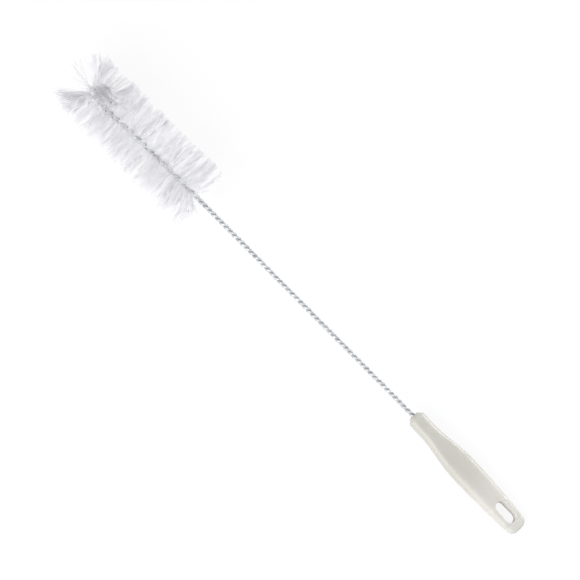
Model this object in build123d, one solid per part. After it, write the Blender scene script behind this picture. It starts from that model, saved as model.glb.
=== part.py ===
from build123d import *
import math
import os
import random

# A bottle brush lies on its side, with its bristle head towards -X and its handle towards +X.
# One wire is folded in half and its two strands are twisted together. The middle of each bristle
# filament is pinched between the strands, so the twist lays the bristles out as a double spiral.
# Along the bristles the core bows slightly to one side, and at its tip it is bent back on itself, so
# that the bristles on the bend fan out forwards. The other end of the core is held in the socket of a
# moulded handle with a hanging slot.
# All sizes are in millimetres. The stem runs along X, with the nose of the handle at X = 0.

os.makedirs("parts", exist_ok=True)

# Wire core
wire_diameter = 1.75
stem_length = 204.2
stem_pitch = 7.7
brush_length = 92.5
brush_pitch = 12.0
bow_angle = 2.8
bend_radius = 3.5
return_length = 12.5
turn_radius = 30.0
strand_sides = 6
rings_per_turn = 6
rings_in_bend = 15
rings_in_fold = 4

# Bristles
head_diameter = 49.0
fan_reach = 28.5
filament_layer = 0.2
layer_width = 1.6
layer_clearance = 0.15
bristle_step = 0.33
fan_step = 0.22
bristle_width = 0.45
bristle_lean = 4.0
fan_spread = 74.0
fan_steps = 3
outward_least = 0.31
inward_most = 0.2
fold_clearance = 3.6
bristle_unevenness = 0.05
resting_squash = 1.6

# Handle
handle_length = 102.5
handle_turn = 1.6
nose_length = 3.0
nose_width = 6.8
nose_thickness = 5.6
neck_length = 14.0
neck_width = 12.4
neck_thickness = 9.0
neck_edge_radius = 3.5
palm_position = 48.0
palm_width = 19.4
palm_thickness = 10.4
palm_edge_radius = 2.6
end_width = 14.5
end_thickness = 6.4
end_corner_radius = 4.5
end_tip_radius = 2.0
roundest_edge = 0.45
slot_length = 16.8
slot_width = 7.3
slot_end_wall = 6.5
slot_chamfer = 0.6
socket_depth = 36.0
socket_clearance = 0.06
socket_bottom_gap = 0.8
resting_checks = 40

wire_radius = wire_diameter / 2
flat_distance = wire_radius * math.cos(math.pi / strand_sides)
brush_offset = flat_distance + filament_layer / 2 + layer_clearance
head_radius = head_diameter / 2
bend_start = return_length
bend_end = bend_start + math.pi * bend_radius
brush_end = bend_end + brush_length
layer_start = wire_diameter
chance = random.Random(7)
up = Vector(0, 0, 1)


def spread(start, end, step):
    """Evenly spaced distances after start and up to end, about one step apart."""
    count = max(1, round((end - start) / step))
    return [start + (end - start) * (i + 1) / count for i in range(count)]


def s_curve(x):
    """Share that rises smoothly from 0 at the end of the neck to 1 at the palm."""
    share = min(max((x - neck_length) / (palm_position - neck_length), 0), 1)
    return share * share * (3 - 2 * share)


def grip_size(x, neck, palm, end):
    """Width or thickness of the handle at x: even along the neck, swelling in an S curve to the
    palm, then falling off along a parabola to the end."""
    share = max(x - palm_position, 0) / (handle_length - palm_position)
    return neck + (palm - neck) * s_curve(x) + (end - palm) * share * share


def grip_width(x):
    return grip_size(x, neck_width, palm_width, end_width)


def grip_thickness(x):
    return grip_size(x, neck_thickness, palm_thickness, end_thickness)


def handle_section(x, width, thickness):
    """One rounded cross-section of the handle, square to its axis. The neck has the softest edges."""
    wanted = neck_edge_radius + (palm_edge_radius - neck_edge_radius) * s_curve(x)
    radius = min(wanted, roundest_edge * thickness, roundest_edge * width)
    plane = Plane(origin=(x, 0, 0), x_dir=(0, 1, 0), z_dir=(1, 0, 0))
    return plane * RectangleRounded(width, thickness, radius)


def rounded_end(size, radius, depth):
    """A slab that holds the whole handle except the two corners of its end, which it rounds."""
    start = handle_length - 2 * radius
    long_part = Pos(start / 2, 0, 0) * Rectangle(start, 4 * palm_width)
    middle = Pos(handle_length - 2 * radius, 0, 0) * RectangleRounded(4 * radius, size, radius)
    notch = Pos(start + radius / 2, 0, 0) * Rectangle(radius, 4 * palm_width)
    return extrude(long_part + notch + middle, depth, both=True)


def make_handle():
    """One moulding with a tapered nose, a grip lofted through rounded sections and a rounded end.
    The hanging slot and the socket for the core are cut out of it."""
    neck_start = handle_section(nose_length, neck_width, neck_thickness)
    nose = loft([handle_section(0, nose_width, nose_thickness), neck_start])
    swell = spread(neck_length, palm_position, (palm_position - neck_length) / 4)
    fall = spread(palm_position, handle_length, (handle_length - palm_position) / 4)
    stations = [nose_length, (nose_length + neck_length) / 2, neck_length] + swell + fall
    grip = loft([handle_section(x, grip_width(x), grip_thickness(x)) for x in stations])
    corner = min(end_corner_radius, roundest_edge * end_width)
    tip = min(end_tip_radius, roundest_edge * end_thickness)
    grip &= rounded_end(grip_width(handle_length - corner), corner, palm_thickness)
    grip &= Plane.XZ * rounded_end(grip_thickness(handle_length - tip), tip, palm_width)
    slot_middle = handle_length - slot_end_wall - slot_length / 2
    slot = extrude(Pos(slot_middle, 0, 0) * SlotOverall(slot_length, slot_width), palm_thickness, both=True)
    moulding = grip - slot
    rims = moulding.edges().filter_by(
        lambda e: abs(e.center().X - slot_middle) < (slot_length + slot_chamfer) / 2
        and abs(e.center().Y) < (slot_width + slot_chamfer) / 2
        and abs(e.center().Z) > slot_chamfer
    )
    moulding = chamfer(rims, slot_chamfer) + nose
    socket = Plane.YZ * Circle(2 * wire_radius + socket_clearance)
    return moulding - extrude(socket, socket_depth + socket_bottom_gap)


def core_line():
    """Centre line of the twisted pair, from the end that is bent back to the end in the socket. The
    short leg, the bend and the shallow bow lead into the straight stem."""
    turn_run = turn_radius * math.sin(math.radians(handle_turn))
    heading = Vector(-1, 0, 0).rotate(Axis.Z, bow_angle)
    back = Line((0, 0, 0), heading * return_length)
    bend = JernArc(back @ 1, back % 1, bend_radius, 180)
    bow = JernArc(bend @ 1, bend % 1, brush_length / math.radians(bow_angle), -bow_angle)
    hook = [Pos(Vector(-stem_length, 0, 0) - bow @ 1) * part for part in (back, bend, bow)]
    straight = Line((-stem_length, 0), (-turn_run, 0))
    turn = JernArc(straight @ 1, straight % 1, turn_radius, -handle_turn)
    held = Line(turn @ 1, turn @ 1 + (turn % 1) * socket_depth)
    return Wire(hook + [straight, turn, held])


def core_spot(distance):
    return core.position_at(distance, position_mode=PositionMode.LENGTH)


core = core_line()
stem_end = core.length - socket_depth
bend_middle = core_spot((bend_start + bend_end) / 2)
bend_centre = (core_spot(bend_start) + core_spot(bend_end)) / 2


def twist_at(distance):
    """Angle that the pair has turned through, as a left-hand thread turns. At the middle of the
    bend the bristles stand upright."""
    slow = min(distance, brush_end)
    middle = (bend_start + bend_end) / 2
    return -2 * math.pi * ((slow - middle) / brush_pitch + (distance - slow) / stem_pitch)


def core_frame(distance):
    """Place and directions in the core: along it, from its axis to the first strand, and across."""
    spot = core_spot(distance)
    along = core.tangent_at(distance, position_mode=PositionMode.LENGTH)
    level = up.cross(along)
    twist = twist_at(distance)
    out = level * math.cos(twist) + up * math.sin(twist)
    across = up * math.cos(twist) - level * math.sin(twist)
    return spot, along, out, across


def strand_offset(distance):
    """From the core's axis to the middle of a strand: the strands touch in the bare stem and are
    kept apart by the filaments in the brush."""
    share = min(max((distance - brush_end) / brush_pitch, 0), 1)
    return brush_offset + (wire_radius - brush_offset) * share


def strand_ring(spot, out, across, offset):
    corners = []
    for i in range(strand_sides):
        angle = math.pi * (2 * i + 1) / strand_sides
        reach = offset + wire_radius * math.cos(angle)
        corners.append(spot + out * reach + across * (wire_radius * math.sin(angle)))
    return corners


def split_quad(a, b, c, d, inside):
    """Two triangles for a twisted four-cornered facet, split along the diagonal further out."""
    if ((a + c) / 2 - inside).length > ((b + d) / 2 - inside).length:
        return [(a, b, c), (a, c, d)]
    return [(a, b, d), (b, c, d)]


def faceted_solid(triangles):
    return Solid(Shell([Face(Wire.make_polygon(corners)) for corners in triangles]))


def make_core_wire():
    """One wire that runs out along the first strand, folds over at the end of the bent-back leg
    and returns along the second strand."""
    distances = [0.0]
    distances += spread(0, bend_start, brush_pitch / rings_per_turn)
    distances += spread(bend_start, bend_end, (bend_end - bend_start) / rings_in_bend)
    distances += spread(bend_end, brush_end, brush_pitch / rings_per_turn)
    distances += spread(brush_end, core.length, stem_pitch / rings_per_turn)
    outward = []
    inward = []
    for distance in distances:
        spot, _, out, across = core_frame(distance)
        offset = strand_offset(distance)
        outward.append((spot, strand_ring(spot, out, across, offset)))
        inward.append((spot, strand_ring(spot, out * -1, across, offset)))
    spot, along, out, across = core_frame(distances[0])
    offset = strand_offset(distances[0])
    fold = []
    for i in range(1, rings_in_fold + 1):
        angle = math.pi * i / (rings_in_fold + 1)
        radial = out * math.cos(angle) - along * math.sin(angle)
        fold.append((spot, strand_ring(spot, radial, across, offset)))
    rings = outward[::-1] + fold + inward
    triangles = []
    for (spot_a, ring_a), (spot_b, ring_b) in zip(rings, rings[1:]):
        for i in range(strand_sides):
            j = (i + 1) % strand_sides
            triangles += split_quad(ring_a[i], ring_a[j], ring_b[j], ring_b[i], (spot_a + spot_b) / 2)
    for _, ring in (rings[0], rings[-1]):
        triangles += [(ring[0], ring[i], ring[i + 1]) for i in range(1, strand_sides - 1)]
    return faceted_solid(triangles)


def has_bristle(distance, direction):
    """Where the two legs run side by side each one carries bristles on its outer side, and the
    bend carries them on its outside."""
    if distance < bend_start:
        return direction.Y > outward_least
    if distance < bend_end:
        return direction.dot(core_spot(distance) - bend_centre) > 0
    if distance < bend_end + return_length + fold_clearance:
        return direction.Y < inward_most
    return True


def trimmed_reach(base, direction):
    """Distance to the trimmed outline: a cylinder about the stem, and a ball about the bend."""
    half_b = base.Y * direction.Y + base.Z * direction.Z
    a = direction.Y**2 + direction.Z**2
    c = base.Y**2 + base.Z**2 - head_radius**2
    side_reach = (math.sqrt(half_b**2 - a * c) - half_b) / a
    from_tip = base - bend_middle
    if base.X > bend_centre.X:
        return side_reach
    half_b = from_tip.dot(direction)
    front_reach = math.sqrt(half_b**2 - from_tip.dot(from_tip) + fan_reach**2) - half_b
    return min(side_reach, front_reach)


def bristle_tip(base, root, direction, along, floor):
    """The two corners of the edge at a bristle's tip. A tip that would pass the floor stops there."""
    length = trimmed_reach(root, direction) * (1 - chance.uniform(0, bristle_unevenness))
    tips = []
    for corner, side in zip(base, (-0.5, 0.5)):
        tip = root + direction * length + along * (side * bristle_width)
        if floor(tip) < 0:
            tip = corner + (tip - corner) * (floor(corner) / (floor(corner) - floor(tip)))
        tips.append(tip)
    return tips


def make_bristles(floor):
    """All filaments as one solid: a flattened layer pinched between the strands, twisted with them,
    from whose two edges the bristles stand out."""
    distances = [layer_start]
    distances += spread(layer_start, bend_start, bristle_step)
    distances += spread(bend_start, bend_end, fan_step)
    distances += spread(bend_end, brush_end, bristle_step)
    half_layer = filament_layer / 2
    half_width = layer_width / 2
    rings = []
    for distance in distances:
        spot, along, out, across = core_frame(distance)
        corners = [
            spot + out * half_layer + across * half_width,
            spot - out * half_layer + across * half_width,
            spot - out * half_layer - across * half_width,
            spot + out * half_layer - across * half_width,
        ]
        rings.append((spot, corners))
    triangles = []
    for i in range(len(distances) - 1):
        (spot_a, ring_a), (spot_b, ring_b) = rings[i], rings[i + 1]
        inside = (spot_a + spot_b) / 2
        for j in (1, 3):
            k = (j + 1) % 4
            triangles += split_quad(ring_a[j], ring_a[k], ring_b[k], ring_b[j], inside)
        middle = (distances[i] + distances[i + 1]) / 2
        _, along, out, across = core_frame(middle)
        for j, facing in ((0, across), (2, across * -1)):
            a, b, c, d = ring_a[j], ring_a[j + 1], ring_b[j + 1], ring_b[j]
            if not has_bristle(middle, facing):
                triangles += split_quad(a, b, c, d, inside)
                continue
            lean = math.tan(math.radians(chance.uniform(-bristle_lean, bristle_lean)))
            splay = math.tan(math.radians(chance.uniform(-bristle_lean, bristle_lean) / 2))
            direction = facing + along * lean + out * splay
            if bend_start < middle < bend_end:
                spread_by = math.radians(fan_spread * (i % (fan_steps + 1)) / fan_steps)
                outward = (inside - bend_centre).normalized()
                direction = facing * math.cos(spread_by) + outward * math.sin(spread_by)
            direction = direction.normalized()
            base = ((a + b) / 2, (c + d) / 2)
            p, q = bristle_tip(base, (a + b + c + d) / 4, direction, along, floor)
            triangles += [(a, b, p), (c, d, q), (b, c, q), (b, q, p), (d, a, p), (d, p, q)]
    for _, ring in (rings[0], rings[-1]):
        triangles += [(ring[0], ring[1], ring[2]), (ring[0], ring[2], ring[3])]
    return faceted_solid(triangles)


def lying_slope():
    """Angle in degrees at which the stem falls towards the handle, when the brush rests on the
    bristles at the rear of its head and on the underside of the handle."""
    slopes = []
    for x in spread(0, handle_length - end_tip_radius, handle_length / resting_checks):
        slopes.append((head_radius - resting_squash - grip_thickness(x) / 2) / (x + stem_length))
    return math.degrees(math.atan(min(slopes)))


slope = lying_slope()
lie = Rotation(0, slope, 0)
handle = Pos(core @ (stem_end / core.length)) * Rotation(0, 0, -handle_turn) * make_handle()
floor_level = (lie * handle).bounding_box().min.Z


def height_above_floor(point):
    angle = math.radians(slope)
    return point.Z * math.cos(angle) - point.X * math.sin(angle) - floor_level


pieces = {
    "handle": handle,
    "core_wire": make_core_wire(),
    "bristles": make_bristles(height_above_floor),
}
pieces = {name: lie * solid for name, solid in pieces.items()}
boxes = [solid.bounding_box() for solid in pieces.values()]
low = Vector(*[min(getattr(box.min, axis) for box in boxes) for axis in "XYZ"])
high = Vector(*[max(getattr(box.max, axis) for box in boxes) for axis in "XYZ"])
ground = Pos(-(low.X + high.X) / 2, -(low.Y + high.Y) / 2, -low.Z)

for name, solid in pieces.items():
    export_step(ground * solid, f"parts/{name}.step")
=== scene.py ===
import math

import bmesh
import bpy
import numpy as np
from mathutils import Matrix, Vector


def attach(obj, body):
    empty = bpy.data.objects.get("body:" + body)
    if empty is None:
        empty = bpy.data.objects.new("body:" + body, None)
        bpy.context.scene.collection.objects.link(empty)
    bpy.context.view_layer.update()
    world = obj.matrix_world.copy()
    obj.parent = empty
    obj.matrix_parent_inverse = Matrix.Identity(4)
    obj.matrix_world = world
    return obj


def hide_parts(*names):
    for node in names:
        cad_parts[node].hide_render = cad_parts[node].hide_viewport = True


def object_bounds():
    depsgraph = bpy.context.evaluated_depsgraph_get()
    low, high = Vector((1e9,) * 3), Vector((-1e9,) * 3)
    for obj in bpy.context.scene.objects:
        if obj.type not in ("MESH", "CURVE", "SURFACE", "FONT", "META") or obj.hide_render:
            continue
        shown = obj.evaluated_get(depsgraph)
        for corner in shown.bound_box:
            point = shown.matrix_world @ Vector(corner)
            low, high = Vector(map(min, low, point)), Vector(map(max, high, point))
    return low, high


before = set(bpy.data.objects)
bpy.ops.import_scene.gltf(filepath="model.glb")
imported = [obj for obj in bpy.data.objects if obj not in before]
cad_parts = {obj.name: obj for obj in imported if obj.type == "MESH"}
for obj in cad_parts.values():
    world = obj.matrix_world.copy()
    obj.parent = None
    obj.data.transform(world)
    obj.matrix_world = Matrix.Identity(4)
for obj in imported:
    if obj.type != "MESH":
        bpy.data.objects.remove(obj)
cad_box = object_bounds()

bl_info = {
    "name": "Bottle Brush",
    "version": (1, 0, 0),
    "blender": (4, 5, 0),
    "location": "3D View > Sidebar > Brush",
    "description": "Dresses a bottle brush with twisted wire, filaments and a moulded handle",
    "category": "Mesh",
}

# The brush is worked out with its stem along X and the nose of its handle at X = 0. It is then
# laid down: tilted about Y by the slope at which it rests, and moved to the frame's handle.
UP = np.array([0.0, 0.0, 1.0])
ROOT = "root"
WHITE = (1, 1, 1, 1)
BLACK = (0, 0, 0, 1)

# The photograph's width and height, and where it has the middle of the nose, in pixels
PHOTO_SIZE = 580
PHOTO_NOSE = (413.5, 415.9)
SENSOR_WIDTH = 36

# Just under the ground, so that nothing lies in the floor's own plane
FLOOR_LEVEL = -0.00005

# Each lamp's name, place, aim, size, and the setting that holds its power
LAMPS = (
    ("near_side_light", (-0.1, -1.1, 0.95), (0, 0, 0), (1.2, 0.8), "side_light"),
    ("far_side_light", (0.1, 1.55, 0.32), (0, 0, 0), (1.4, 0.22), "back_light"),
    ("edge_light", (0.178, 0.45, 0.10), (0.172, 0, 0.004), (0.2, 0.05), "edge_light"),
)

# Points closer together than this are one point
DOUBLED = 1e-6

# The least number that is divided by
LEAST_DIVISOR = 1e-6

# A direction that hardly any filament follows
SKEW = np.array([0.31, 0.83, 0.47])


def decimal(name, description, default, **details):
    return bpy.props.FloatProperty(name=name, description=description, default=default, **details)


def length(name, description, default):
    return decimal(name, description, default, min=0, subtype="DISTANCE", unit="LENGTH")


def angle(name, description, degrees):
    return decimal(name, description, math.radians(degrees), subtype="ANGLE", unit="ROTATION")


def colour(name, description, default):
    return bpy.props.FloatVectorProperty(
        name=name, description=description, default=default, size=4, min=0, max=1, subtype="COLOR"
    )


def fraction(name, description, default):
    return decimal(name, description, default, min=0, max=1, subtype="FACTOR")


def amount(name, description, default, least=0):
    return bpy.props.IntProperty(name=name, description=description, default=default, min=least)


def power(name, description, default):
    return decimal(name, description, default, min=0, unit="POWER")


class WireSettings(bpy.types.PropertyGroup):
    """The folded wire whose two strands are twisted together."""

    diameter: length("Diameter", "Thickness of the wire", 0.00175)
    stem_length: length("Stem length", "Bare core between the bristles and the handle", 0.2042)
    stem_pitch: length("Stem pitch", "Length of one turn of the bare core", 0.0077)
    brush_length: length("Brush length", "Length of the core that carries bristles", 0.0925)
    brush_pitch: length("Brush pitch", "Length of one turn between the bristles", 0.012)
    bow: angle("Bow", "Angle through which the core bows along the bristles", 2.8)
    bend_radius: length("Bend radius", "Radius of the bend at the tip", 0.0035)
    return_length: length("Return length", "Length of the leg that is bent back", 0.0125)
    turn_radius: length("Turn radius", "Radius of the slight turn before the handle", 0.030)
    socket_depth: length("Socket depth", "Length of the core that the handle holds", 0.036)
    pinch: length("Pinch", "How far the filaments keep the strands from the core's axis", 0.00101)
    strand_sides: amount("Strand sides", "Sides of the round strand", 12, 6)
    ring_step: length("Ring step", "Distance between the rings of a strand", 0.00052)
    bright: colour("Bright zinc", "Colour of the smooth zinc", (0.62, 0.63, 0.64, 1))
    dull: colour("Dull zinc", "Colour of the dulled zinc", (0.41, 0.42, 0.43, 1))


class BristleSettings(bpy.types.PropertyGroup):
    """The filaments that the twisted strands hold by their middles."""

    head_diameter: length("Head diameter", "Width that the bristles are trimmed to", 0.049)
    fan_reach: length("Fan reach", "Length of the bristles on the bend", 0.0285)
    filament_diameter: length("Filament diameter", "Thickness of one filament", 0.00030)
    filaments: amount("Filaments", "Filaments along the core, each with two free ends", 1500, 1)
    fan_filaments: amount("Fan filaments", "Filaments that are added on the bend", 260)
    rear_filaments: amount("Rear filaments", "Filaments that are added at the rear of the head", 110)
    lean: angle("Lean", "How far a clump of filaments leans along the core", 5)
    splay: angle("Splay", "How far a clump of filaments strays around the core", 18)
    loose: fraction("Loose", "How far a filament strays from its clump", 0.30)
    tuft_lean: angle("Tuft lean", "How far neighbouring filaments lean together", 2)
    back_lean: angle("Back lean", "Lean of the filaments at the end of the bent-back leg", 30)
    near_rear_lean: angle("Near rear lean", "Lean of the last filaments on the near side", 20)
    far_rear_lean: angle("Far rear lean", "Lean of the last filaments on the far side", 6)
    fan_spread: angle("Fan spread", "How far a clump on the bend leans along the core", 19)
    near_gap: angle("Near gap", "Empty angle beside straight ahead, on the near side", 33)
    far_gap: angle("Far gap", "Empty angle beside straight ahead, on the far side", 22)
    unevenness: fraction("Unevenness", "Share by which the trimmed lengths differ", 0.02)
    tuft_unevenness: fraction("Tuft unevenness", "Share by which the lengths of tufts differ", 0.04)
    curl: fraction("Curl", "Sideways set of a filament, as a share of its length", 0.04)
    crimp: length("Crimp", "Depth of the waves along a filament", 0.0003)
    resting_squash: length("Resting squash", "How far the head sinks onto the ground", 0.0016)
    light: colour("Light nylon", "Colour of the clearest filaments", (0.99, 0.98, 0.995, 1))
    shaded: colour("Shaded nylon", "Colour of the duller filaments", (0.94, 0.93, 0.96, 1))
    # Greyer colour that the filaments turn towards their ends
    grey_tips: colour("Grey tips", "Colour of the filaments' ends", (0.77, 0.755, 0.795, 1))
    # Painted light: strength of the glow painted onto the filaments' roots
    painted_root_glow: fraction("Glow", "Light that the filaments pass on to their roots", 0.108)


class HandleSettings(bpy.types.PropertyGroup):
    """The moulded handle with its hanging slot."""

    length: length("Length", "Length of the handle", 0.1025)
    turn: angle("Turn", "Angle between the handle and the stem", 1.6)
    nose_length: length("Nose length", "Length of the tapered nose", 0.003)
    nose_width: length("Nose width", "Width of the nose", 0.0068)
    nose_thickness: length("Nose thickness", "Thickness of the nose", 0.0056)
    neck_length: length("Neck length", "Length up to the end of the even neck", 0.014)
    neck_width: length("Neck width", "Width of the neck", 0.0124)
    neck_thickness: length("Neck thickness", "Thickness of the neck", 0.009)
    palm_position: length("Palm position", "Where the grip is widest", 0.048)
    palm_width: length("Palm width", "Greatest width", 0.0194)
    palm_thickness: length("Palm thickness", "Greatest thickness", 0.0104)
    end_width: length("End width", "Width at the end", 0.0145)
    end_thickness: length("End thickness", "Thickness at the end", 0.0064)
    corner_radius: length("Corner radius", "Radius of the end's corners", 0.0045)
    tip_radius: length("Tip radius", "Rounding of the end's edges", 0.002)
    slot_length: length("Slot length", "Length of the hanging slot", 0.0168)
    slot_width: length("Slot width", "Width of the hanging slot", 0.0073)
    slot_end_wall: length("Slot end wall", "Plastic between the slot and the end", 0.0065)
    rim_radius: length("Rim radius", "Rounding of the slot's rims", 0.0008)
    socket_radius: length("Socket radius", "Radius of the socket for the core", 0.00181)
    socket_gap: length("Socket gap", "Room below the core in the socket", 0.0008)
    sink: length("Sink", "Depth of the marks where the moulding shrank", 0.00016)
    pale: colour("Pale plastic", "Colour of the thin end", (0.605, 0.587, 0.545, 1))
    # Partly painted shade: this darker colour towards the nose also stands for shade on the neck
    deep_and_shaded: colour("Deep plastic", "Colour where the moulding is thick", (0.50, 0.488, 0.435, 1))
    warm: colour("Warm plastic", "Tint beside the slot", (0.60, 0.565, 0.53, 1))


class StageSettings(bpy.types.PropertyGroup):
    """Floor, lights and camera."""

    floor_size: length("Floor size", "Width of the floor", 6)
    floor_colour: colour("Floor colour", "Colour of the floor", (0.93, 0.93, 0.93, 1))
    floor_white: fraction("Floor white", "How white the floor looks, against its own shading", 0.88)
    surround: colour("Surround", "Colour of the even light from all round", (0.60, 0.61, 0.64, 1))
    camera_lean: angle("Camera lean", "How far the camera leans from overhead to the side", 16)
    camera_roll: angle("Camera roll", "Angle at which the stem falls across the picture", 45.275)
    camera_distance: length("Camera distance", "From the camera to the nose of the handle", 3.0)
    pixel_size: length("Pixel size", "Size at the nose of one pixel of the photograph", 0.000657)
    side_light: power("Side light", "Power of the light on the near side", 18.5)
    back_light: power("Back light", "Power of the light on the far side", 2.5)
    edge_light: power("Edge light", "Power of the low light behind the handle", 1.2)


def stretch(values, start, end):
    """Share of the way from start to end, held between 0 and 1."""
    return np.clip((values - start) / (end - start), 0, 1)


def smooth(values, start, end):
    """An S curve from 0 at start to 1 at end: 3 t^2 - 2 t^3 of the share t."""
    share = stretch(values, start, end)
    return share * share * (3 - 2 * share)


def unit(vectors):
    return vectors / np.linalg.norm(vectors, axis=-1, keepdims=True)


def dot(a, b):
    return np.sum(a * b, axis=-1, keepdims=True)


def level_direction(heading):
    return np.stack([np.cos(heading), np.sin(heading), np.zeros_like(heading)], axis=-1)


def grip_size(grip, x, nose, neck, palm, end):
    """Width or thickness at x: a straight taper along the nose, even along the neck, an S curve to
    the palm and a parabola from there to the end."""
    taper = nose + (neck - nose) * stretch(x, 0, grip.nose_length)
    swell = (palm - neck) * smooth(x, grip.neck_length, grip.palm_position)
    fall = (palm - end) * stretch(x, grip.palm_position, grip.length) ** 2
    return taper + swell - fall


def grip_width(grip, x):
    return grip_size(grip, x, grip.nose_width, grip.neck_width, grip.palm_width, grip.end_width)


def grip_thickness(grip, x):
    nose, neck = grip.nose_thickness, grip.neck_thickness
    return grip_size(grip, x, nose, neck, grip.palm_thickness, grip.end_thickness)


class Layout:
    """Where the brush lies, and the line of its core. Distances run along the core from the end of
    the leg that is bent back."""

    resting_checks = 41

    def __init__(self, scene):
        self.wire, self.hairs, self.grip = scene.brush_wire, scene.brush_bristles, scene.brush_handle
        wire, hairs, grip = self.wire, self.hairs, self.grip
        self.head_radius = hairs.head_diameter / 2
        turn_run = wire.turn_radius * math.sin(grip.turn)
        self.runs = (
            (wire.return_length, 0),
            (math.pi * wire.bend_radius, math.pi),
            (wire.brush_length, -wire.bow),
            (wire.stem_length - turn_run, 0),
            (wire.turn_radius * grip.turn, -grip.turn),
            (wire.socket_depth, 0),
        )
        ends = np.cumsum([run[0] for run in self.runs])
        self.bend_start, self.bend_end, self.brush_end, _, self.stem_end, self.core_end = ends
        self.crown = (self.bend_start + self.bend_end) / 2
        self.shift = np.zeros(3)
        self.shift = np.array([-wire.stem_length, 0, 0]) - self.core_spot(self.brush_end)
        self.bend_middle = self.core_spot(self.crown)
        self.bend_centre = (self.core_spot(self.bend_start) + self.core_spot(self.bend_end)) / 2
        self.slope = self.resting_slope()
        self.turned = self.rotation(0) @ np.array(Matrix.Rotation(-grip.turn, 3, "Z"))
        self.nose = self.front_middle(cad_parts["handle"])

    def resting_slope(self):
        """Angle at which the stem falls when the rear of the head and the handle's underside touch
        the ground: the least slope that any point of the underside allows."""
        x = np.linspace(0, self.grip.length - self.grip.tip_radius, self.resting_checks)
        drop = self.head_radius - self.hairs.resting_squash - grip_thickness(self.grip, x) / 2
        return math.atan(np.min((drop / (x + self.wire.stem_length))[x > self.grip.nose_length]))

    def rotation(self, extra):
        return np.array(Matrix.Rotation(self.slope + extra, 3, "Y"))

    def front_middle(self, node):
        """Middle of the front face of the frame's handle: its vertices that are furthest along the
        handle's axis towards the bristles."""
        flat = np.empty(len(node.data.vertices) * 3)
        node.data.vertices.foreach_get("co", flat)
        corners = flat.reshape(-1, 3)
        depth = corners @ self.turned[:, 0]
        margin = self.grip.nose_length / 100
        face = corners[depth < depth.min() + margin]
        return (face.min(axis=0) + face.max(axis=0)) / 2

    def core_spot(self, distance):
        return self.core_points(np.array([distance]))[0][0]

    def lay(self, points):
        """Points of the stem's own frame, laid down on the ground."""
        return (points - self.core_spot(self.stem_end)) @ self.rotation(0).T + self.nose

    def lay_handle(self, points):
        """Points of the handle's own frame, turned with it and laid down on the ground."""
        return points @ self.turned.T + self.nose

    def core_points(self, distance):
        """Place and direction of the core: a straight leg, a half circle, a shallow bow, the straight
        stem, a slight turn and the part in the socket. A run turns evenly, so the chord of the part
        already passed is that part times the sinc of half the angle it turned through."""
        spot = np.zeros((len(distance), 3))
        heading = np.full(len(distance), math.pi + self.wire.bow)
        start = 0
        for run, turn in self.runs:
            gone = np.clip(distance - start, 0, run)
            turned = turn * gone / run
            chord = gone * np.sinc(turned / (2 * math.pi))
            spot += chord[:, None] * level_direction(heading + turned / 2)
            heading = heading + turned
            start += run
        return spot + self.shift, level_direction(heading)

    def core_frame(self, distance):
        """Place, direction, direction of the first strand, and direction across the strands, which
        turn once in each pitch, as a left-hand thread does. In the middle of the bend the bristles
        stand upright."""
        spot, along = self.core_points(distance)
        slow = np.minimum(distance, self.brush_end)
        turns = (slow - self.crown) / self.wire.brush_pitch + (distance - slow) / self.wire.stem_pitch
        cosine = np.cos(2 * math.pi * turns)[:, None]
        sine = -np.sin(2 * math.pi * turns)[:, None]
        level = np.cross(UP, along)
        return spot, along, level * cosine + UP * sine, UP * cosine - level * sine


class Number:
    """A value in a material. Arithmetic on it adds Math nodes."""

    def __init__(self, finish, socket):
        self.finish, self.socket = finish, socket

    def math(self, operation, *values):
        node = self.finish.node("ShaderNodeMath", {"operation": operation}, dict(enumerate(values)))
        return Number(self.finish, node.outputs[0])

    def __add__(self, other):
        return self.math("ADD", self, other)

    def __sub__(self, other):
        return self.math("SUBTRACT", self, other)

    def __rsub__(self, other):
        return self.math("SUBTRACT", other, self)

    def __mul__(self, other):
        return self.math("MULTIPLY", self, other)

    def __truediv__(self, other):
        return self.math("DIVIDE", self, other)

    __radd__ = __add__

    def share(self, start, end):
        """Share of the way from start to end, held between 0 and 1."""
        settings = {"interpolation_type": "SMOOTHSTEP"}
        inputs = {"Value": self, "From Min": start, "From Max": end}
        return Number(self.finish, self.finish.node("ShaderNodeMapRange", settings, inputs).outputs[0])


class Finish:
    """A node tree under construction. Every node but the Math nodes comes from its node method."""

    def __init__(self, owner):
        self.owner = owner
        owner.use_nodes = True
        self.tree = owner.node_tree
        self.tree.nodes.clear()

    def node(self, kind, settings, inputs):
        node = self.tree.nodes.new(kind)
        for key, value in settings.items():
            setattr(node, key, value)
        for key, value in inputs.items():
            socket = node.inputs[key]
            value = getattr(value, "socket", value)
            if isinstance(value, bpy.types.NodeSocket):
                self.tree.links.new(value, socket)
            else:
                socket.default_value = value
        return node

    def coordinates(self, output):
        return self.node("ShaderNodeTexCoord", {}, {}).outputs[output]

    def axes(self, vector):
        parts = self.node("ShaderNodeSeparateXYZ", {}, {0: vector})
        return [Number(self, socket) for socket in parts.outputs]

    def scaled(self, vector, x, y, z):
        inputs = {"Vector": vector, "Scale": (x, y, z)}
        return self.node("ShaderNodeMapping", {}, inputs).outputs[0]

    def noise(self, vector, scale, detail=2.0, distortion=0.0):
        inputs = {"Vector": vector, "Scale": scale, "Detail": detail, "Distortion": distortion}
        return Number(self, self.node("ShaderNodeTexNoise", {}, inputs).outputs["Fac"])

    def mix(self, factor, first, second):
        """Colour between two colours."""
        inputs = {0: factor, 6: first, 7: second}
        return self.node("ShaderNodeMix", {"data_type": "RGBA"}, inputs).outputs[2]

    def bump(self, height, distance, strength):
        inputs = {"Height": height, "Distance": distance, "Strength": strength}
        return self.node("ShaderNodeBump", {}, inputs).outputs[0]

    def surface(self, shader):
        self.node("ShaderNodeOutputMaterial", {}, {"Surface": shader.outputs[0]})
        return self.owner

    def principled(self, inputs):
        return self.surface(self.node("ShaderNodeBsdfPrincipled", {}, inputs))


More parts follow.
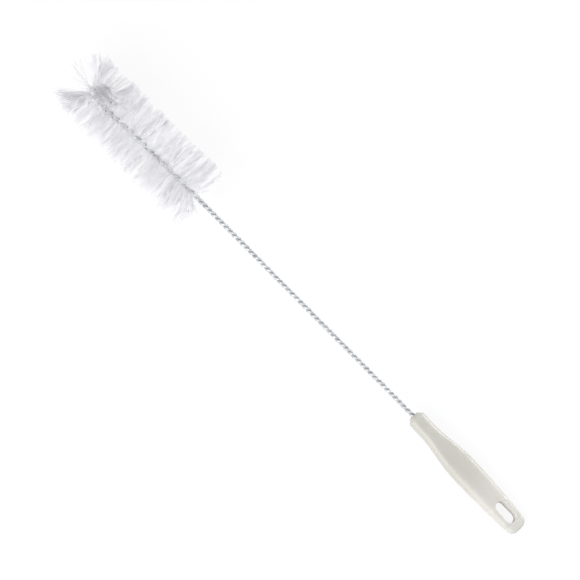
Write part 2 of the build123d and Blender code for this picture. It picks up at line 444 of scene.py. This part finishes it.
def galvanised_wire(wire):
    """Zinc on drawn steel: patches of bright and dull zinc, with fine lines along the strand."""
    patch_scale = 420
    line_scales = (60, 24, 1)
    line_depth = 0.00002
    finish = Finish(bpy.data.materials.new("galvanised_wire"))
    patches = finish.noise(finish.coordinates("Object"), patch_scale, 3)
    lines = finish.noise(finish.scaled(finish.coordinates("UV"), *line_scales), 1, 3)
    dulled = (patches * 0.7 + lines * 0.5).share(0.42, 0.78)
    inputs = {
        "Base Color": finish.mix(dulled, tuple(wire.bright), tuple(wire.dull)),
        "Metallic": 0.6,
        "Roughness": 0.42 + dulled * 0.18,
        "Normal": finish.bump(lines, line_depth, 0.35),
    }
    return finish.principled(inputs)


def white_nylon(hairs):
    """Cloudy nylon monofilament. Each filament has its own tone and is greyer towards its ends. Its
    root glows a little, a painted light that stands for the light that clear nylon carries inwards."""
    cloud_scale = 160
    scatter_depth = 0.0006
    finish = Finish(bpy.data.materials.new("white_nylon"))
    tone, reach, _ = finish.axes(finish.coordinates("UV"))
    uneven = finish.noise(finish.coordinates("Object"), cloud_scale, 1)
    shade = (tone * 0.75 + uneven * 0.35).share(0.25, 1.05)
    clean = finish.mix(shade, tuple(hairs.light), tuple(hairs.shaded))
    inputs = {
        # Filaments turn greyer towards their ends
        "Base Color": finish.mix(reach.share(0.25, 1.0), clean, tuple(hairs.grey_tips)),
        # Painted light: the roots glow, standing for the light that clear nylon carries inwards
        "Emission Color": finish.mix(reach.share(0.1, 0.95), WHITE, BLACK),
        "Emission Strength": hairs.painted_root_glow,
        "Roughness": 0.32 + tone * 0.18,
        "IOR": 1.53,
        "Subsurface Weight": 1.0,
        "Subsurface Radius": (scatter_depth,) * 3,
        "Subsurface Scale": 1.0,
    }
    return finish.principled(inputs)


def natural_plastic(grip, layout):
    """Unpigmented plastic: cloudy, deeper in tone towards the nose and paler towards the thin end,
    partly the plastic's own tone and partly painted shade, with faint flow lines along the grip, a
    warmer patch before the slot and a surface that isn't quite flat."""
    cloud_scale = 55
    flow_scales = (18, 130, 130)
    thinning = (0.35, 0.95)
    warm_start, warm_end = (0.60, 0.70), (0.72, 0.82)
    wave_depth = 0.0002
    finish = Finish(bpy.data.materials.new("natural_plastic"))
    place = finish.coordinates("Object")
    x, _, _ = finish.axes(place)
    along = (x - layout.nose[0]) / grip.length
    clouds = finish.noise(place, cloud_scale, 3)
    flow = finish.noise(finish.scaled(place, *flow_scales), 1, 3, 0.6)
    # Partly painted shade: the tone deepens towards the nose and pales towards the thin end, by place
    # along the handle
    thick_and_shaded = 1 - along.share(*thinning)
    depth = (thick_and_shaded * 0.8 + clouds * 0.3 + flow * 0.18 - 0.12).share(0, 1)
    plain = finish.mix(depth, tuple(grip.pale), tuple(grip.deep_and_shaded))
    before_slot = along.share(*warm_start) * (1 - along.share(*warm_end)) * 0.5
    inputs = {
        "Base Color": finish.mix(before_slot, plain, tuple(grip.warm)),
        "Roughness": 0.36 + clouds * 0.12,
        "IOR": 1.5,
        "Subsurface Weight": 0.25,
        "Subsurface Radius": (0.004, 0.004, 0.0035),
        "Subsurface Scale": 1.0,
        "Normal": finish.bump(clouds + flow * 0.5, wave_depth, 0.25),
    }
    return finish.principled(inputs)


def add_object(name, data):
    item = bpy.data.objects.new(name, data)
    bpy.context.scene.collection.objects.link(item)
    return item


def add_piece(name, points, faces, uvs, material, node):
    """Makes the mesh of one piece from whole arrays, and tells the frame what it stands for. Points
    and uvs have one row per vertex, faces one row of corners per face."""
    mesh = bpy.data.meshes.new(name)
    mesh.vertices.add(len(points))
    mesh.vertices.foreach_set("co", np.ascontiguousarray(points, dtype=np.float32).ravel())
    corners = faces.ravel()
    mesh.loops.add(len(corners))
    mesh.loops.foreach_set("vertex_index", corners.astype(np.int32))
    mesh.polygons.add(len(faces))
    mesh.polygons.foreach_set("loop_start", np.arange(0, len(corners), faces.shape[1], dtype=np.int32))
    mesh.update(calc_edges=True)
    layer = mesh.uv_layers.new(name="UVMap")
    layer.data.foreach_set("uv", np.ascontiguousarray(uvs[corners], dtype=np.float32).ravel())
    mesh.polygons.foreach_set("use_smooth", np.ones(len(faces), dtype=bool))
    mesh.materials.append(material)
    mesh.validate()
    piece = add_object(name, mesh)
    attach(piece, ROOT)
    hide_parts(node)
    return piece


def weld(piece):
    """Merges the doubled points of seams and poles."""
    shell = bmesh.new()
    shell.from_mesh(piece.data)
    bmesh.ops.remove_doubles(shell, verts=shell.verts, dist=DOUBLED)
    bmesh.ops.recalc_face_normals(shell, faces=shell.faces)
    shell.to_mesh(piece.data)
    shell.free()


def grid_quads(rows, columns):
    """Corner numbers of the quads between the rows and columns of a grid of points."""
    first = np.arange(rows - 1)[:, None] * columns + np.arange(columns - 1)
    return np.stack([first, first + 1, first + columns + 1, first + columns], axis=-1).reshape(-1, 4)


def with_ends(rows):
    """The rows with the first and the last one doubled."""
    return np.concatenate([rows[:1], rows, rows[-1:]])


def tube(path, normals, radius, sides):
    """Round tube: at each point of the path a circle of that radius in the plane square to the path,
    point + radius (cos(a) normal + sin(a) binormal). A circle of radius 0 closes each end. Returns
    the points and the map of the length along the path and the share of the way round."""
    forward = unit(np.gradient(path, axis=0))
    normals = unit(normals - forward * dot(normals, forward))
    sideways = with_ends(np.cross(forward, normals))[:, None]
    steps = np.linalg.norm(np.diff(path, axis=0), axis=1)
    run = with_ends(np.concatenate([[0], np.cumsum(steps)]))
    share = np.linspace(0, 1, sides + 1)
    around = 2 * math.pi * share[None, :, None]
    radii = np.full((len(run), 1, 1), radius)
    radii[[0, -1]] = 0
    circles = np.cos(around) * with_ends(normals)[:, None] + np.sin(around) * sideways
    uvs = np.stack(np.broadcast_arrays(run[:, None], share[None]), axis=-1)
    return with_ends(path)[:, None] + radii * circles, uvs.reshape(-1, 2)


class BRUSH_OT_core_wire(bpy.types.Operator):
    """Twist the folded wire and bend its tip back"""

    bl_idname = "mesh.brush_core_wire"
    bl_label = "Core Wire"

    def execute(self, context):
        layout = Layout(context.scene)
        wire = layout.wire
        radius = wire.diameter / 2
        steps = math.ceil(layout.core_end / wire.ring_step)
        distance = np.linspace(0, layout.core_end, steps)
        spot, along, out, _ = layout.core_frame(distance)
        closing = stretch(distance, layout.brush_end, layout.brush_end + wire.brush_pitch)
        offset = (wire.pinch + (radius - wire.pinch) * closing)[:, None]
        half_turn = np.linspace(0, math.pi, wire.strand_sides + 1)[1:-1, None]
        fold_out = out[0] * np.cos(half_turn) - along[0] * np.sin(half_turn)
        fold = spot[0] + fold_out * offset[0]
        path = np.concatenate([(spot + out * offset)[::-1], fold, spot - out * offset])
        normals = np.concatenate([out[::-1], fold_out, -out])
        points, uvs = tube(path, normals, radius, wire.strand_sides)
        faces = grid_quads(*points.shape[:2])
        points = layout.lay(points).reshape(-1, 3)
        material = galvanised_wire(wire)
        piece = add_piece("twisted_wire", points, faces, uvs, material, "core_wire")
        weld(piece)
        return {"FINISHED"}


class BRUSH_OT_bristles(bpy.types.Operator):
    """Lay the filaments between the strands and trim them"""

    bl_idname = "mesh.brush_bristles"
    bl_label = "Bristles"

    seed = 11

    # From the core's axis to the edge of the pinched layer; where a filament has its rings, as
    # shares of its reach; and the length of its pointed tip, as a share of the last step
    half_layer = 0.0008
    stations = (0.22, 0.42, 0.6, 0.78, 0.985)
    tip = 0.02

    # Lengths of core that a tuft and a clump take up, and the most that they differ from the rest
    tuft_step = 0.0014
    clump_step = 0.00030
    most_of_clump, most_of_tuft = 2, 1.5

    # How far a filament may point into the bend, and how it is pushed out and up beyond that
    free_inwards = 0.15
    pushed_out, pushed_up = 1.1, 0.8

    # How far the near side's fan is swept towards the gap, and the turns over which the rear leans
    swept_share = 0.62
    leaning_turns = 2

    # Of each fan_cycle filaments added on the bend, near_in_cycle go to the near side. They stray
    # along the core by this share of a quarter turn
    fan_cycle, near_in_cycle = 3, 2
    fan_stray = 0.25

    # Filaments are added over the last rear_turns turns, and all stray by a turn / parts_of_turn
    rear_turns = 1.5
    parts_of_turn = 60

    # Least height of a filament above the ground, in diameters, and how far it is moved aside
    least_height = 0.6
    pushed_aside = 0.6

    def drift(self, distance, chance):
        """A value for each filament that wanders along the core: normal random values at even steps,
        joined by straight lines."""
        knots = np.arange(0, distance.max() + 2 * self.tuft_step, self.tuft_step)
        return np.interp(distance, knots, chance.normal(0, 1, len(knots)))[:, None]

    def clumped(self, distance, chance):
        """Normal random values that the filaments of one clump nearly share."""
        clump = np.floor(distance / self.clump_step).astype(int)
        shared = chance.normal(0, 1, clump.max() + 1)[clump]
        own = chance.normal(0, bpy.context.scene.brush_bristles.loose, len(distance))
        return (shared + own)[:, None]

    def direction(self, layout, distance, side, chance):
        """Direction in which each filament leaves the core on one side. Filaments stand across the
        strands and lean along the core in clumps. Those that would run into the other leg are pushed
        out and up or down. Those at the end of the bent-back leg and at the rear of the head lean
        towards the handle, and those on the bend are parted into a fan."""
        wire, hairs = layout.wire, layout.hairs
        spot, along, out, across = layout.core_frame(distance)
        on_return = (distance < layout.bend_start)[:, None]
        splay = hairs.splay * self.clumped(distance, chance) * (1 + on_return)
        lean = hairs.lean * self.clumped(distance, chance)
        lean += hairs.tuft_lean * self.drift(distance, chance)
        facing = side * across * np.cos(splay) + out * np.sin(splay)
        outward = spot - layout.bend_centre
        outward[:, 0] = np.minimum(outward[:, 0], 0)
        outward = unit(outward)
        near_tip = (distance < layout.bend_end + wire.return_length + wire.bend_radius)[:, None]
        inwards = np.clip(-dot(facing, outward) - self.free_inwards, 0, None) * near_tip
        upright = UP * np.where(facing[:, 2:] >= 0, 1, -1)
        push = outward * self.pushed_out + upright * self.pushed_up
        facing = unit(facing + inwards * push)
        on_bend = ((distance > layout.bend_start) & (distance < layout.bend_end))[:, None]
        back = hairs.back_lean * on_return * (1 - smooth(distance, 0, wire.return_length))[:, None]
        leaning_from = layout.brush_end - self.leaning_turns * wire.brush_pitch
        rear = smooth(distance, leaning_from, layout.brush_end)[:, None]
        rear_lean = np.where(facing[:, 1:2] < 0, hairs.near_rear_lean, hairs.far_rear_lean)
        lean += rear_lean * rear - back
        lean = np.where(on_bend, hairs.fan_spread * self.clumped(distance, chance), lean)
        leaning = unit(facing + along * np.tan(lean))
        swept = np.minimum(self.swept_share * np.abs(self.clumped(distance, chance)[:, 0]), 1)
        return np.where(on_bend, self.parted(hairs, leaning, swept), leaning)

    def parted(self, hairs, facing, swept):
        """Directions turned about the vertical so that the fan leaves a gap straight ahead: an angle a
        from ahead becomes at least gap + a (1 - gap / right angle). On the near side the gap of each
        filament lies between the fan's gap, where swept is 1, and the right angle, where it is 0."""
        ahead = np.arctan2(np.abs(facing[:, 1]), -facing[:, 0])
        near_gap = math.pi / 2 - (math.pi / 2 - hairs.near_gap) * swept
        gap = np.where(facing[:, 1] < 0, near_gap, hairs.far_gap)
        ahead = np.maximum(ahead, gap + ahead * (1 - 2 * gap / math.pi))
        level = np.hypot(facing[:, 0], facing[:, 1])
        aside = np.sign(facing[:, 1]) * level * np.sin(ahead)
        return np.stack([-level * np.cos(ahead), aside, facing[:, 2]], axis=-1)

    def reach(self, layout, base, direction):
        """Distance to the trimmed outline: a cylinder about the stem, and a ball about the crown."""
        a = np.maximum(direction[:, 1] ** 2 + direction[:, 2] ** 2, LEAST_DIVISOR)
        half_b = base[:, 1] * direction[:, 1] + base[:, 2] * direction[:, 2]
        c = base[:, 1] ** 2 + base[:, 2] ** 2 - layout.head_radius**2
        side_reach = (np.sqrt(half_b**2 - a * c) - half_b) / a
        from_crown = base - layout.bend_middle
        half_b = np.sum(from_crown * direction, axis=1)
        room = half_b**2 - np.sum(from_crown**2, axis=1) + layout.hairs.fan_reach**2
        front_reach = np.sqrt(np.maximum(room, 0)) - half_b
        ahead = base[:, 0] <= layout.bend_centre[0]
        return np.where(ahead, np.minimum(side_reach, front_reach), side_reach)

    def half_path(self, layout, distance, side, chance):
        """Points of each filament from the core outwards: from the edge of the layer straight out,
        with a sideways set that grows with the square of the distance and with small waves."""
        hairs = layout.hairs
        count = len(distance)
        spot, _, _, across = layout.core_frame(distance)
        base = spot + side * across * self.half_layer
        heading = self.direction(layout, distance, side, chance)
        by_clump = np.clip(np.abs(self.clumped(distance, chance)[:, 0]), 0, self.most_of_clump)
        by_tuft = np.clip(np.abs(self.drift(distance, chance)[:, 0]), 0, self.most_of_tuft)
        shorter = hairs.unevenness * by_clump + hairs.tuft_unevenness * by_tuft
        reach = self.reach(layout, base, heading) * (1 - shorter)
        set_aside = unit(np.cross(heading, chance.normal(size=(count, 3))))
        curl = np.abs(chance.normal(0, hairs.curl, count))
        shares = np.array(self.stations)[None, :, None]
        straight = base[:, None] + heading[:, None] * (reach[:, None, None] * shares)
        waves = hairs.crimp * chance.normal(0, 1, (count, len(self.stations), 1))
        curled = straight + set_aside[:, None] * ((reach * curl)[:, None, None] * shares**2 + waves)
        tips = curled[:, -1:] + (curled[:, -1:] - curled[:, -2:-1]) * self.tip
        return np.concatenate([base[:, None], curled, tips], axis=1)

    def filaments(self, layout, distance, chance):
        """Centre lines from tip to tip, through the layer that the strands pinch. What would sink into
        the ground is lifted onto it and moved aside by a share of the lift."""
        spot = layout.core_points(distance)[0]
        first = self.half_path(layout, distance, 1, chance)
        second = self.half_path(layout, distance, -1, chance)
        lines = layout.lay(np.concatenate([first[:, ::-1], spot[:, None], second], axis=1))
        low, high = np.array(cad_box)
        room = layout.hairs.filament_diameter
        height = room * (self.least_height + chance.random(len(lines)))[:, None]
        sunk = np.clip(height - lines[..., 2], 0, None)
        lines[..., 1] += np.sign(lines[..., 1]) * sunk * self.pushed_aside
        lines[..., 2] = np.maximum(lines[..., 2], height)
        return np.clip(lines, low + room, high - room)

    def shells(self, lines, radius, tones):
        """Three-sided closed shells about the centre lines: a ring at every inner point and one
        point at each tip. Returns the points, the triangles and the map of tone and reach."""
        count, stops = lines.shape[:2]
        forward = unit(np.gradient(lines, axis=1))
        normal = unit(np.cross(forward, SKEW))
        sideways = np.cross(forward, normal)
        ring = np.arange(3)
        turn = 2 * math.pi * ring[None, None, :, None] / 3
        circles = np.cos(turn) * normal[:, :, None] + np.sin(turn) * sideways[:, :, None]
        rings = (lines[:, :, None] + radius * circles)[:, 1:-1].reshape(count, -1, 3)
        points = np.concatenate([rings, lines[:, :1], lines[:, -1:]], axis=1)
        after = (ring + 1) % 3
        row = 3 * np.arange(stops - 3)[:, None]
        lower = np.stack([row + ring, row + after, row + 3 + after], axis=-1).reshape(-1, 3)
        upper = np.stack([row + ring, row + 3 + after, row + 3 + ring], axis=-1).reshape(-1, 3)
        last = 3 * (stops - 3)
        tip = last + 3
        first_cap = np.stack([after, ring, np.full(3, tip)], axis=-1)
        second_cap = np.stack([last + ring, last + after, np.full(3, tip + 1)], axis=-1)
        template = np.concatenate([lower, upper, first_cap, second_cap])
        faces = (template[None] + (np.arange(count) * points.shape[1])[:, None, None]).reshape(-1, 3)
        reach = np.abs(np.linspace(-1, 1, stops))
        reach = np.concatenate([np.repeat(reach[1:-1], 3), [1, 1]])
        uvs = np.stack(np.broadcast_arrays(tones[:, None], reach[None]), axis=-1)
        return points.reshape(-1, 3), faces, uvs.reshape(-1, 2)

    def execute(self, context):
        layout = Layout(context.scene)
        hairs, wire = layout.hairs, layout.wire
        chance = np.random.default_rng(self.seed)
        start, end, pitch = wire.diameter, layout.brush_end, wire.brush_pitch
        places = np.linspace(start, end, hairs.filaments)
        near = np.arange(hairs.fan_filaments) % self.fan_cycle < self.near_in_cycle
        stray = 1 + self.fan_stray * chance.normal(size=hairs.fan_filaments)
        fan = layout.crown + pitch / 4 * np.where(near, 1, -1) * stray
        rear = np.linspace(end - self.rear_turns * pitch, end, hairs.rear_filaments)
        places = np.concatenate([places, fan, rear])
        places += chance.normal(0, pitch / self.parts_of_turn, len(places))
        places = np.sort(np.clip(places, start, end))
        tones = chance.random(len(places))
        lines = self.filaments(layout, places, chance)
        material = white_nylon(hairs)
        middle = (layout.bend_end + end) / 2
        parts = {"bristles_front": places < middle, "bristles_rear": places >= middle}
        for name, chosen in parts.items():
            points, faces, uvs = self.shells(lines[chosen], hairs.filament_diameter / 2, tones[chosen])
            add_piece(name, points, faces, uvs, material, "bristles")
        return {"FINISHED"}


class BRUSH_OT_handle(bpy.types.Operator):
    """Mould the handle round the end of the core"""

    bl_idname = "mesh.brush_handle"
    bl_label = "Handle"

    # Steps from the top to the underside; how square the neck and the palm are; and how far their
    # corners reach, as the sum of the shares of width and thickness
    around = 48
    neck_softness, palm_softness = 9.0, 3.0
    neck_bevel, palm_bevel = 1.46, 1.9

    # Rows of points along the nose, the grip, each round end of the slot, its straight sides, its
    # rims, the plastic behind it and the rounded end; rows crowd towards the edge of a rim
    nose_rows, grip_rows, round_rows, straight_rows = 4, 110, 13, 11
    rim_rows, wall_rows, end_rows = 6, 6, 16
    crowding = 1.5

    # Where half the slot's width is less than this, it is closed
    closed = 1e-7

    # Sink marks: place as a share of the length, distance from the middle, and size. They are only
    # in the top, which is higher than this
    marks = ((0.42, 0.0046, 0.0022), (0.545, 0.0042, 0.0028), (0.61, 0.0038, 0.002))
    top_from = 0.002

    def section(self, theta, softness, bevel):
        """Unit section as a soft polygon. In each direction its radius is the inverse of the p-norm
        of the side, the top and the bevelled corner, where p is the softness. It is scaled to 1 at
        the side: r = (|cos|^p + |sin|^p + ((|cos| + |sin|) / bevel)^p)^(-1/p) / r(side)."""
        c, s = np.abs(np.cos(theta)), np.abs(np.sin(theta))
        radius = (c**softness + s**softness + ((c + s) / bevel) ** softness) ** (-1 / softness)
        widest = (1 + (1 / bevel) ** softness) ** (-1 / softness)
        return radius * np.cos(theta) / widest, radius * np.sin(theta) / widest

    def stations(self, grip):
        """Places along the handle, closer together round the ends of the slot and at the end."""
        slot_end = grip.length - grip.slot_end_wall
        slot_start = slot_end - grip.slot_length
        radius = grip.slot_width / 2
        into_slot = radius * (1 - np.cos(np.linspace(0, math.pi / 2, self.round_rows)))
        rim = grip.rim_radius * np.linspace(0, 1, self.rim_rows)[1:] ** self.crowding
        end = np.sin(np.linspace(0, math.pi / 2, self.end_rows))
        clear, end_start = 2 * grip.rim_radius, grip.length - grip.tip_radius
        parts = [
            np.linspace(0, grip.nose_length, self.nose_rows),
            np.linspace(grip.nose_length, slot_start - clear, self.grip_rows),
            slot_start - rim,
            slot_start + into_slot,
            np.linspace(slot_start + radius, slot_end - radius, self.straight_rows),
            slot_end - into_slot,
            slot_end + rim,
            np.linspace(slot_end + clear, end_start, self.wall_rows),
            grip.length - grip.tip_radius * (1 - end),
        ]
        return np.unique(np.round(np.concatenate(parts), 8))

    def half_outside(self, grip, x):
        """The right half of the outer skin: one row per station and one column per direction from
        the top to the underside. Along the slot a row starts at the slot's wall, and its rim is a
        quarter circle: depth 1 - sqrt(1 - d^2) at the share d of the way into the rim. Also returns
        which rows the slot opens."""
        theta = np.linspace(math.pi / 2, -math.pi / 2, self.around + 1)[None]
        x = x[:, None]
        corner = grip.corner_radius
        tip = grip.tip_radius
        past_corner = np.clip(x - (grip.length - corner), 0, corner)
        past_tip = np.clip(x - (grip.length - tip), 0, tip)
        half_width = grip_width(grip, x) / 2 - corner + np.sqrt(corner**2 - past_corner**2)
        half_depth = grip_thickness(grip, x) / 2 - tip + np.sqrt(tip**2 - past_tip**2)
        flatter = smooth(x, grip.neck_length, grip.palm_position)
        softness = self.neck_softness + (self.palm_softness - self.neck_softness) * flatter
        bevel = self.neck_bevel + (self.palm_bevel - self.neck_bevel) * flatter
        y, z = self.section(theta, softness, bevel)
        y, z = y * half_width, z * half_depth
        slot_end = grip.length - grip.slot_end_wall
        slot_start = slot_end - grip.slot_length
        radius = grip.slot_width / 2
        past_run = np.abs(x - (slot_start + slot_end) / 2) - (grip.slot_length / 2 - radius)
        opening = np.sqrt(np.clip(radius**2 - np.clip(past_run, 0, None) ** 2, 0, None))
        y = opening + y * (1 - opening / half_width)
        from_slot = np.hypot(np.clip(past_run, 0, None), y) - radius
        into_rim = np.clip(1 - from_slot / grip.rim_radius, 0, 1)
        z -= np.sign(z) * grip.rim_radius * (1 - np.sqrt(1 - into_rim**2))
        return np.stack(np.broadcast_arrays(x, y, z), axis=-1), opening[:, 0] > self.closed

    def sink_marks(self, grip, points):
        """Shallow hollows in the top where the moulding shrank as it cooled: a bell curve of the
        distance from each mark."""
        for along, across, size in self.marks:
            away = np.hypot(points[..., 0] - along * grip.length, points[..., 1] - across)
            top = points[..., 2] > self.top_from
            points[..., 2] -= top * grip.sink * np.exp(-((away / size) ** 2))
        return points

    def execute(self, context):
        layout = Layout(context.scene)
        grip = layout.grip
        x = self.stations(grip)
        outside, open_rows = self.half_outside(grip, x)
        columns = self.around + 1
        theta = np.linspace(math.pi / 2, -math.pi / 2, columns)
        circle = np.stack([np.zeros(columns), np.cos(theta), np.sin(theta)], axis=-1)
        circle *= grip.socket_radius
        bottom = np.array([layout.wire.socket_depth + grip.socket_gap, 0, 0])
        pole = np.repeat(bottom[None], columns, axis=0)
        end_pole = np.repeat(np.array([[grip.length, 0, 0]]), columns, axis=0)
        inside = [pole, circle + bottom, circle]
        rows = np.concatenate([inside, outside, [end_pole]])
        open_rows = np.concatenate([[False] * len(inside), open_rows, [False]])
        right = self.sink_marks(grip, rows.copy())
        left = self.sink_marks(grip, rows * np.array([1, -1, 1]))
        quads = grid_quads(len(rows), columns)
        count = len(rows) * columns
        touching = open_rows[1:] | open_rows[:-1]
        first = np.flatnonzero(touching) * columns
        last = first + columns - 1
        wall = np.stack([first, last, last + columns, first + columns], axis=-1)
        walls = np.concatenate([wall, wall[:, ::-1] + count])
        faces = np.concatenate([quads, quads[:, ::-1] + count, walls])
        points = layout.lay_handle(np.concatenate([right.reshape(-1, 3), left.reshape(-1, 3)]))
        uvs = np.tile(rows[..., :2].reshape(-1, 2), (2, 1))
        material = natural_plastic(grip, layout)
        piece = add_piece("moulded_handle", points, faces, uvs, material, "handle")
        weld(piece)
        return {"FINISHED"}


class BRUSH_OT_stage(bpy.types.Operator):
    """Set the floor, the lights and the camera"""

    bl_idname = "scene.brush_stage"
    bl_label = "Stage"

    def seen_directly(self, finish):
        """1 for rays from the camera and for those that metal and clear plastic send on."""
        path = finish.node("ShaderNodeLightPath", {}, {})
        kinds = ("Is Camera Ray", "Is Glossy Ray", "Is Transmission Ray")
        camera, glossy, transmitted = (Number(finish, path.outputs[kind]) for kind in kinds)
        return (camera + glossy + transmitted).share(0, 1)

    def floor(self, stage):
        """A plain floor that looks white and still shows a soft shadow."""
        half = stage.floor_size / 2
        mesh = bpy.data.meshes.new("floor")
        corners = [(-half, -half), (half, -half), (half, half), (-half, half)]
        mesh.from_pydata([(*corner, FLOOR_LEVEL) for corner in corners], [], [(0, 1, 2, 3)])
        finish = Finish(bpy.data.materials.new("pale_floor"))
        matt = finish.node("ShaderNodeBsdfDiffuse", {}, {"Color": tuple(stage.floor_colour)})
        white = finish.node("ShaderNodeEmission", {}, {"Color": WHITE, "Strength": 1.0})
        factor = self.seen_directly(finish) * stage.floor_white
        inputs = {0: factor, 1: matt.outputs[0], 2: white.outputs[0]}
        mixed = finish.node("ShaderNodeMixShader", {}, inputs)
        mesh.materials.append(finish.surface(mixed))
        floor = add_object("floor", mesh)

    def lamp(self, name, place, aim, size, watts):
        data = bpy.data.lights.new(name, "AREA")
        data.shape = "RECTANGLE"
        data.size, data.size_y = size
        data.energy = watts
        lamp = add_object(name, data)
        lamp.location = place
        lamp.rotation_euler = (Vector(aim) - Vector(place)).to_track_quat("-Z", "Y").to_euler()

    def world(self, scene, stage):
        """Even light from all round, seen as white."""
        finish = Finish(bpy.data.worlds.new("surround"))
        scene.world = finish.owner
        tone = finish.mix(self.seen_directly(finish), tuple(stage.surround), WHITE)
        shader = finish.node("ShaderNodeBackground", {}, {"Color": tone, "Strength": 1.0})
        finish.node("ShaderNodeOutputWorld", {}, {"Surface": shader.outputs[0]})

    def camera(self, stage, layout):
        """Looks down on the stem, leaning to the near side, so that the stem crosses the picture at
        the photograph's angle and the nose is where the photograph has it."""
        along = layout.rotation(0)[:, 0]
        lean, roll = stage.camera_lean, stage.camera_roll
        towards = np.array([0, -math.sin(lean), math.cos(lean)])
        seen = unit(along - towards * (along @ towards))
        sideways = np.cross(towards, seen)
        right = seen * math.cos(roll) + sideways * math.sin(roll)
        upward = sideways * math.cos(roll) - seen * math.sin(roll)
        aside, below = (np.array(PHOTO_NOSE) - PHOTO_SIZE / 2) * stage.pixel_size
        target = layout.nose - right * aside + upward * below
        data = bpy.data.cameras.new("camera")
        data.sensor_width = SENSOR_WIDTH
        data.lens = SENSOR_WIDTH * stage.camera_distance / (PHOTO_SIZE * stage.pixel_size)
        data.clip_end = 100
        camera = add_object("camera", data)
        place = target + towards * stage.camera_distance
        turned = Matrix(np.stack([right, upward, towards], axis=1).tolist()).to_4x4()
        camera.matrix_world = Matrix.Translation(place.tolist()) @ turned
        bpy.context.scene.camera = camera

    def execute(self, context):
        stage = context.scene.brush_stage
        context.scene.view_settings.view_transform = "Standard"
        self.floor(stage)
        self.world(context.scene, stage)
        for name, place, aim, size, setting in LAMPS:
            self.lamp(name, place, aim, size, getattr(stage, setting))
        self.camera(stage, Layout(context.scene))
        return {"FINISHED"}


class BRUSH_PT_panel(bpy.types.Panel):
    """Lists the brush's pieces and their sizes"""

    bl_idname = "BRUSH_PT_panel"
    bl_label = "Bottle Brush"
    bl_space_type = "VIEW_3D"
    bl_region_type = "UI"
    bl_category = "Brush"

    def draw(self, context):
        for settings, operator in zip(SETTINGS, OPERATORS):
            box = self.layout.box()
            box.operator(operator.bl_idname)
            group = getattr(context.scene, settings)
            for name in group.__annotations__:
                box.prop(group, name)


SETTINGS = {
    "brush_wire": WireSettings,
    "brush_bristles": BristleSettings,
    "brush_handle": HandleSettings,
    "brush_stage": StageSettings,
}
OPERATORS = (BRUSH_OT_core_wire, BRUSH_OT_bristles, BRUSH_OT_handle, BRUSH_OT_stage)
CLASSES = (*SETTINGS.values(), *OPERATORS, BRUSH_PT_panel)


def register():
    for item in CLASSES:
        bpy.utils.register_class(item)
    for name, settings in SETTINGS.items():
        setattr(bpy.types.Scene, name, bpy.props.PointerProperty(type=settings))


def unregister():
    for name in SETTINGS:
        delattr(bpy.types.Scene, name)
    for item in reversed(CLASSES):
        bpy.utils.unregister_class(item)


def main():
    register()
    for operator in OPERATORS:
        group, name = operator.bl_idname.split(".")
        getattr(getattr(bpy.ops, group), name)()


if __name__ == "__main__":
    main()
